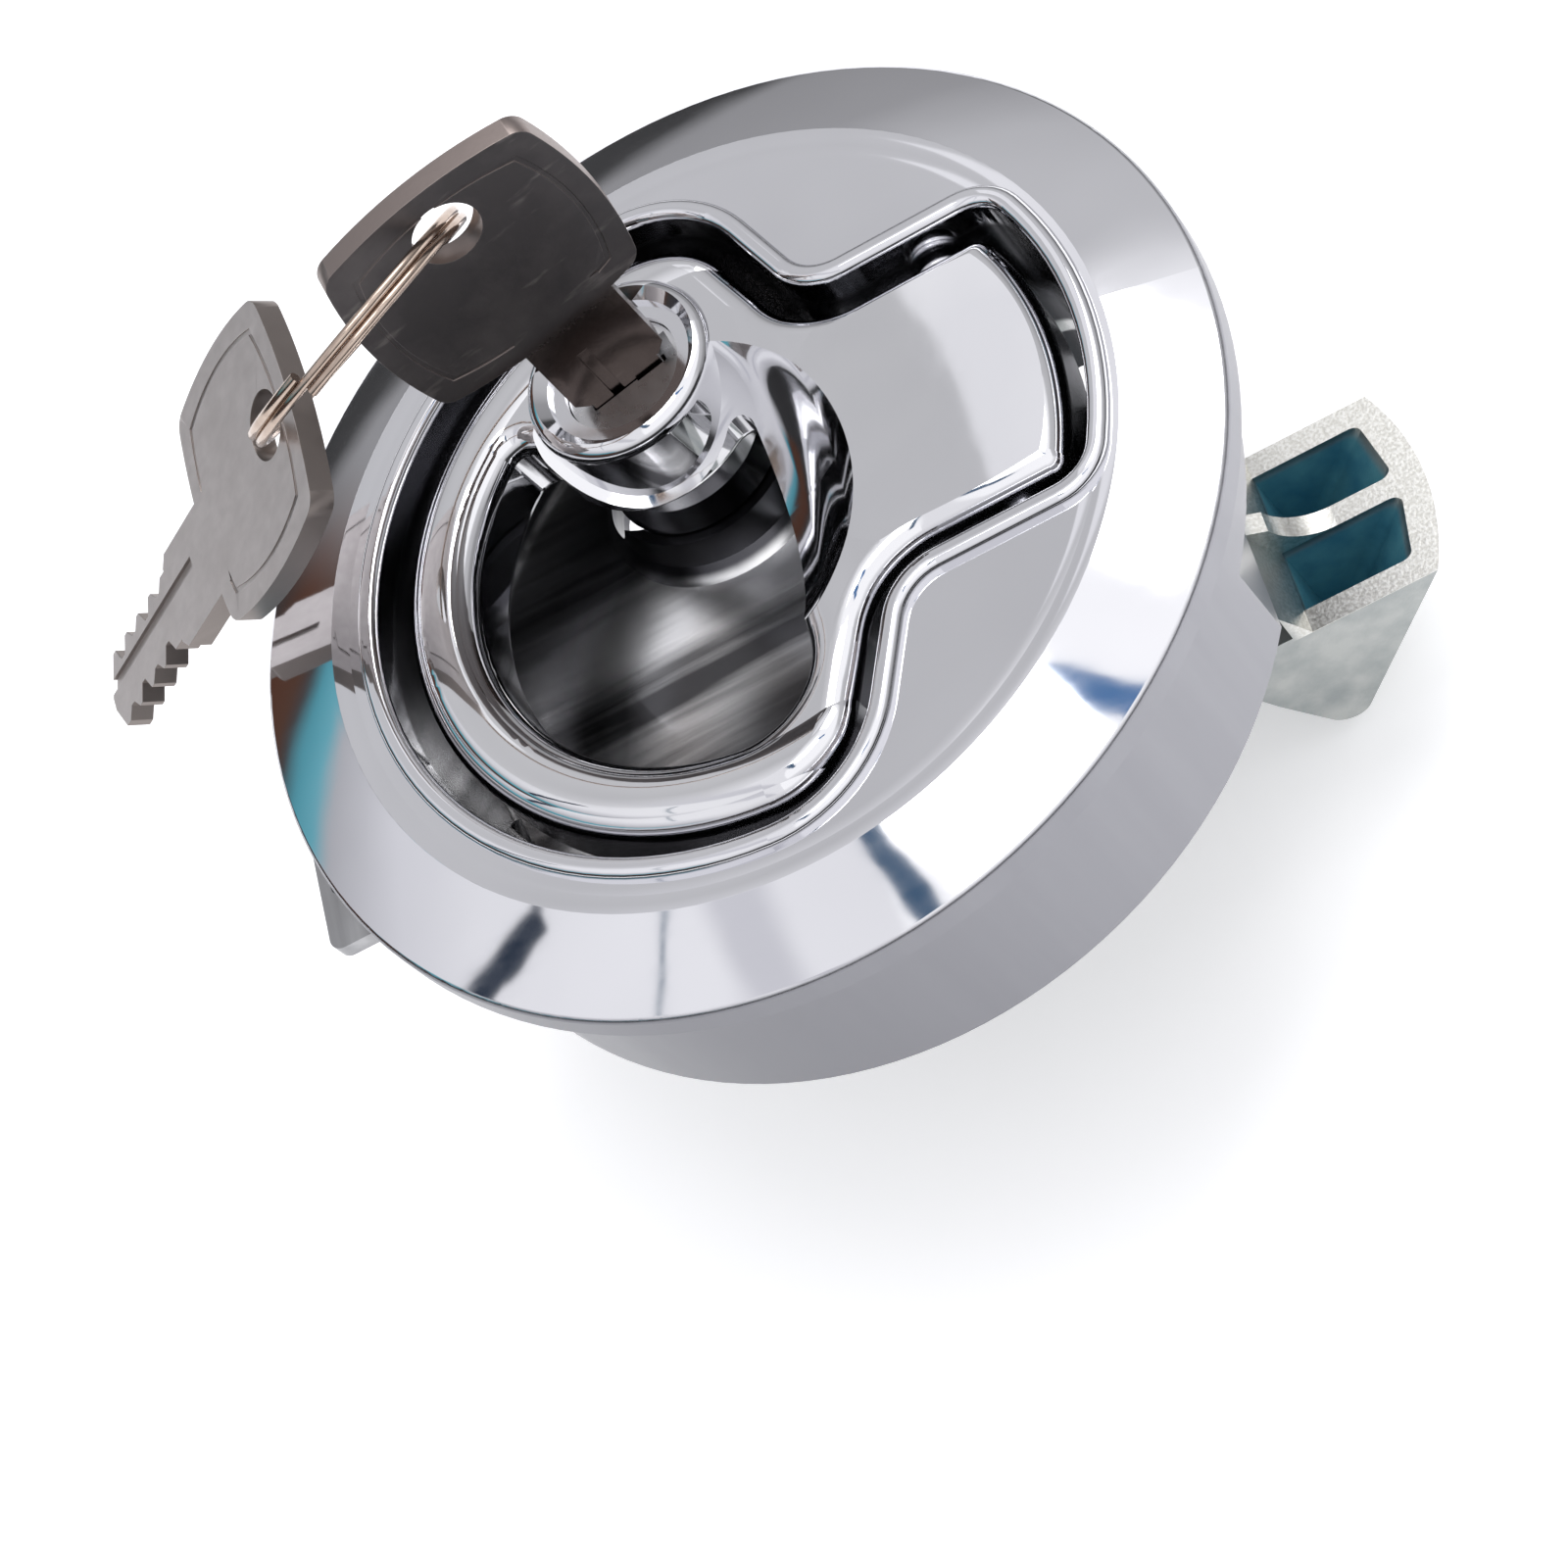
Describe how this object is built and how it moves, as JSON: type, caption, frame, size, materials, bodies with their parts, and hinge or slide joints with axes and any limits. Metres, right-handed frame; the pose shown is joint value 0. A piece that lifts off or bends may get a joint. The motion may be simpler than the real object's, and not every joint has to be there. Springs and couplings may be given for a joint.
{
  "type": "flush pull latch",
  "caption": "Round flush pull latch with a fishtail ring pull, key lock, slam bolt and clamp bracket, with keys on a split ring.",
  "frame": {"origin": "centre of the body on the plane where the bezel's flange sits on the panel", "axes": "+Z out of the face, +X along the pull towards the bolt, +Y towards the lock's side"},
  "size_m": [0.104, 0.082, 0.0811],
  "materials": {
    "bezel_chrome": "polished chrome plate",
    "pull_chrome": "polished chrome plate",
    "barrel_chrome": "polished chrome plate",
    "bolt_zinc": "tumbled zinc plate",
    "steel_pin": "ground steel",
    "spring_steel": "drawn spring steel",
    "lock_zinc": "brushed face",
    "wafer_brass": "stamped brass",
    "cam_steel": "stamped steel",
    "zinc_plated_steel": "blue zinc plate",
    "washer_steel": "zinc plate",
    "bracket_steel": "brushed stainless",
    "key_nickel": "nickel plate",
    "spare_key_nickel": "nickel plate",
    "ring_nickel": "nickel plated wire"
  },
  "bodies": {
    "housing": {"housing": "bezel_chrome", "handle_pin": "steel_pin", "handle_pin_clip": "spring_steel", "handle_spring": "spring_steel", "bolt_pin": "steel_pin", "bolt_pin_clip": "spring_steel", "bolt_spring": "spring_steel", "bracket_screw_1": "zinc_plated_steel", "bracket_screw_2": "zinc_plated_steel", "flat_washer_1": "washer_steel", "flat_washer_2": "washer_steel", "spring_washer_1": "washer_steel", "spring_washer_2": "washer_steel"},
    "handle": {"pull_handle": "pull_chrome", "lock_barrel": "barrel_chrome"},
    "bolt": {"bolt": "bolt_zinc"},
    "plug": {"lock_plug": "lock_zinc", "wafer_1": "wafer_brass", "wafer_2": "wafer_brass", "wafer_3": "wafer_brass", "wafer_4": "wafer_brass", "wafer_5": "wafer_brass", "lock_cam": "cam_steel", "cam_screw": "zinc_plated_steel"},
    "key": {"key": "key_nickel"},
    "ring": {"key_ring": "ring_nickel"},
    "spare": {"spare_key": "spare_key_nickel"},
    "bracket": {"clamp_bracket": "bracket_steel"}
  },
  "joints": [
    {"name": "handle_lift", "type": "hinge", "parent": "housing", "child": "handle", "pos_m": [0.022, 0, 0], "axis": [0, 1, 0], "range_deg": [0, 35], "stiffness_Nm_per_rad": 0.08, "springref_deg": -28.65, "deforming": ["handle_spring"]},
    {"name": "bolt_swing", "type": "hinge", "parent": "housing", "child": "bolt", "pos_m": [0.02, 0, -0.014], "axis": [0, 1, 0], "range_deg": [0, 35], "stiffness_Nm_per_rad": 0.15, "springref_deg": -34.38, "deforming": ["bolt_spring"]},
    {"name": "plug_turn", "type": "hinge", "parent": "handle", "child": "plug", "pos_m": [-0.004, 0.0165, 0], "axis": [0, 0, 1], "range_deg": [-90, 0]},
    {"name": "key_slide", "type": "slide", "parent": "plug", "child": "key", "axis": [0, 0, 1], "range_m": [0, 0.017]},
    {"name": "ring_swing", "type": "hinge", "parent": "key", "child": "ring", "pos_m": [-0.00586, 0.0161, 0.02795], "axis": [-0.213, 0.977, 0], "range_deg": [-2, 40]},
    {"name": "spare_key_swing", "type": "hinge", "parent": "ring", "child": "spare", "pos_m": [-0.02661, 0.01504, 0.01931], "axis": [0.6163, 0.1466, -0.7737], "range_deg": [-20, 20]},
    {"name": "bracket_slide", "type": "slide", "parent": "housing", "child": "bracket", "axis": [0, 0, 1], "range_m": [-0.0017, 0.0017]}
  ],
  "couplings": [
    {"joint": "bolt_swing", "follows": "handle_lift", "ratio": 1}
  ]
}
